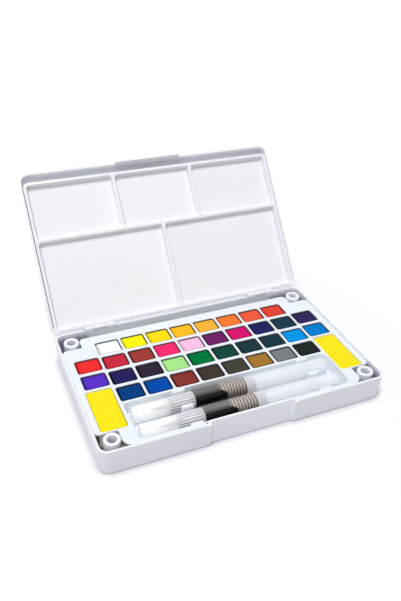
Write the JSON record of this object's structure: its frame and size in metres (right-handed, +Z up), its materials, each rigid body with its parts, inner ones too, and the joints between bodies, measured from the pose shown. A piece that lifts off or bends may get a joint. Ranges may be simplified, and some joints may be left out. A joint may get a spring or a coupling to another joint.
{
  "type": "watercolour paint box",
  "caption": "Flat hinged paint box: a tray of square paint pans, two sponges and two water brushes in the case, and a mixing palette clipped in the lid.",
  "frame": {"origin": "centre of the flat underside of the lower case", "axes": "+Z up out of the lower case, +Y towards the hinge, +X along the hinge to the right as seen from the front"},
  "size_m": [0.2126, 0.2125, 0.1202],
  "materials": {
    "case_white": "satin white polypropylene",
    "tray_white": "satin white plastic",
    "palette_white": "smooth white plastic",
    "socket_clear": "milky plastic",
    "pin_steel": "drawn wire",
    "sponge_yellow": "fine open foam",
    "cap_clear": "clear plastic",
    "bristle_brown": "nylon filament",
    "ferrule_white": "white plastic",
    "grip_black": "black and smoky ribbed plastic",
    "barrel_frosted": "frosted soft plastic",
    "paint_white": "pressed paint cake",
    "paint_lemon_yellow": "pressed paint cake",
    "paint_yellow": "pressed paint cake",
    "paint_amber": "pressed paint cake",
    "paint_light_orange": "pressed paint cake",
    "paint_orange": "pressed paint cake",
    "paint_vermilion": "pressed paint cake",
    "paint_scarlet": "pressed paint cake",
    "paint_red": "pressed paint cake",
    "paint_crimson": "pressed paint cake",
    "paint_red_brown": "pressed paint cake",
    "paint_rose": "pressed paint cake",
    "paint_pink": "pressed paint cake",
    "paint_purple": "pressed paint cake",
    "paint_magenta": "pressed paint cake",
    "paint_indigo": "pressed paint cake",
    "paint_dark_teal": "pressed paint cake",
    "paint_dark_violet": "pressed paint cake",
    "paint_violet": "pressed paint cake",
    "paint_deep_indigo": "pressed paint cake",
    "paint_deep_purple": "pressed paint cake",
    "paint_light_green": "pressed paint cake",
    "paint_green": "pressed paint cake",
    "paint_dark_green": "pressed paint cake",
    "paint_pine_green": "pressed paint cake",
    "paint_teal": "pressed paint cake",
    "paint_sky_blue": "pressed paint cake",
    "paint_blue": "pressed paint cake",
    "paint_navy": "pressed paint cake",
    "paint_ultramarine": "pressed paint cake",
    "paint_brick": "pressed paint cake",
    "paint_dark_brown": "pressed paint cake",
    "paint_olive_brown": "pressed paint cake",
    "paint_ochre": "pressed paint cake",
    "paint_grey": "pressed paint cake",
    "paint_black": "pressed paint cake"
  },
  "bodies": {
    "case": {"base_case": "case_white", "pan_tray": "tray_white", "hinge_pin_left": "pin_steel", "hinge_pin_right": "pin_steel", "socket_back_left": "socket_clear", "socket_back_right": "socket_clear", "socket_front_left": "socket_clear", "socket_front_right": "socket_clear", "paint_white": "paint_white", "paint_lemon_yellow": "paint_lemon_yellow", "paint_yellow": "paint_yellow", "paint_amber": "paint_amber", "paint_light_orange": "paint_light_orange", "paint_orange": "paint_orange", "paint_vermilion": "paint_vermilion", "paint_scarlet": "paint_scarlet", "paint_red": "paint_red", "paint_crimson": "paint_crimson", "paint_red_brown": "paint_red_brown", "paint_rose": "paint_rose", "paint_pink": "paint_pink", "paint_purple": "paint_purple", "paint_magenta": "paint_magenta", "paint_indigo": "paint_indigo", "paint_dark_teal": "paint_dark_teal", "paint_dark_violet": "paint_dark_violet", "paint_violet": "paint_violet", "paint_deep_indigo": "paint_deep_indigo", "paint_deep_purple": "paint_deep_purple", "paint_light_green": "paint_light_green", "paint_green": "paint_green", "paint_dark_green": "paint_dark_green", "paint_pine_green": "paint_pine_green", "paint_teal": "paint_teal", "paint_sky_blue": "paint_sky_blue", "paint_blue": "paint_blue", "paint_navy": "paint_navy", "paint_ultramarine": "paint_ultramarine", "paint_brick": "paint_brick", "paint_dark_brown": "paint_dark_brown", "paint_olive_brown": "paint_olive_brown", "paint_ochre": "paint_ochre", "paint_grey": "paint_grey", "paint_black": "paint_black"},
    "lid": {"lid_shell": "case_white"},
    "palette": {"mixing_palette": "palette_white"},
    "left_sponge": {"sponge_left": "sponge_yellow"},
    "right_sponge": {"sponge_right": "sponge_yellow"},
    "back_brush": {"brush_back_cap": "cap_clear", "brush_back_bristles": "bristle_brown", "brush_back_ferrule": "ferrule_white", "brush_back_grip": "grip_black", "brush_back_barrel": "barrel_frosted"},
    "front_brush": {"brush_front_cap": "cap_clear", "brush_front_bristles": "bristle_brown", "brush_front_ferrule": "ferrule_white", "brush_front_grip": "grip_black", "brush_front_barrel": "barrel_frosted"}
  },
  "joints": [
    {"name": "lid_hinge", "type": "hinge", "parent": "case", "child": "lid", "pos_m": [0, 0.063, 0.0205], "axis": [1, 0, 0], "range_deg": [0, 130]},
    {"name": "palette_lift", "type": "slide", "parent": "lid", "child": "palette", "axis": [0, -0.766, 0.6428], "range_m": [0, 0.03]},
    {"name": "left_sponge_lift", "type": "slide", "parent": "case", "child": "left_sponge", "axis": [0, 0, 1], "range_m": [0, 0.03]},
    {"name": "right_sponge_lift", "type": "slide", "parent": "case", "child": "right_sponge", "axis": [0, 0, 1], "range_m": [0, 0.03]},
    {"name": "back_brush_lift", "type": "slide", "parent": "case", "child": "back_brush", "axis": [0, 0, 1], "range_m": [0, 0.04]},
    {"name": "front_brush_lift", "type": "slide", "parent": "case", "child": "front_brush", "axis": [0, 0, 1], "range_m": [0, 0.04]}
  ]
}
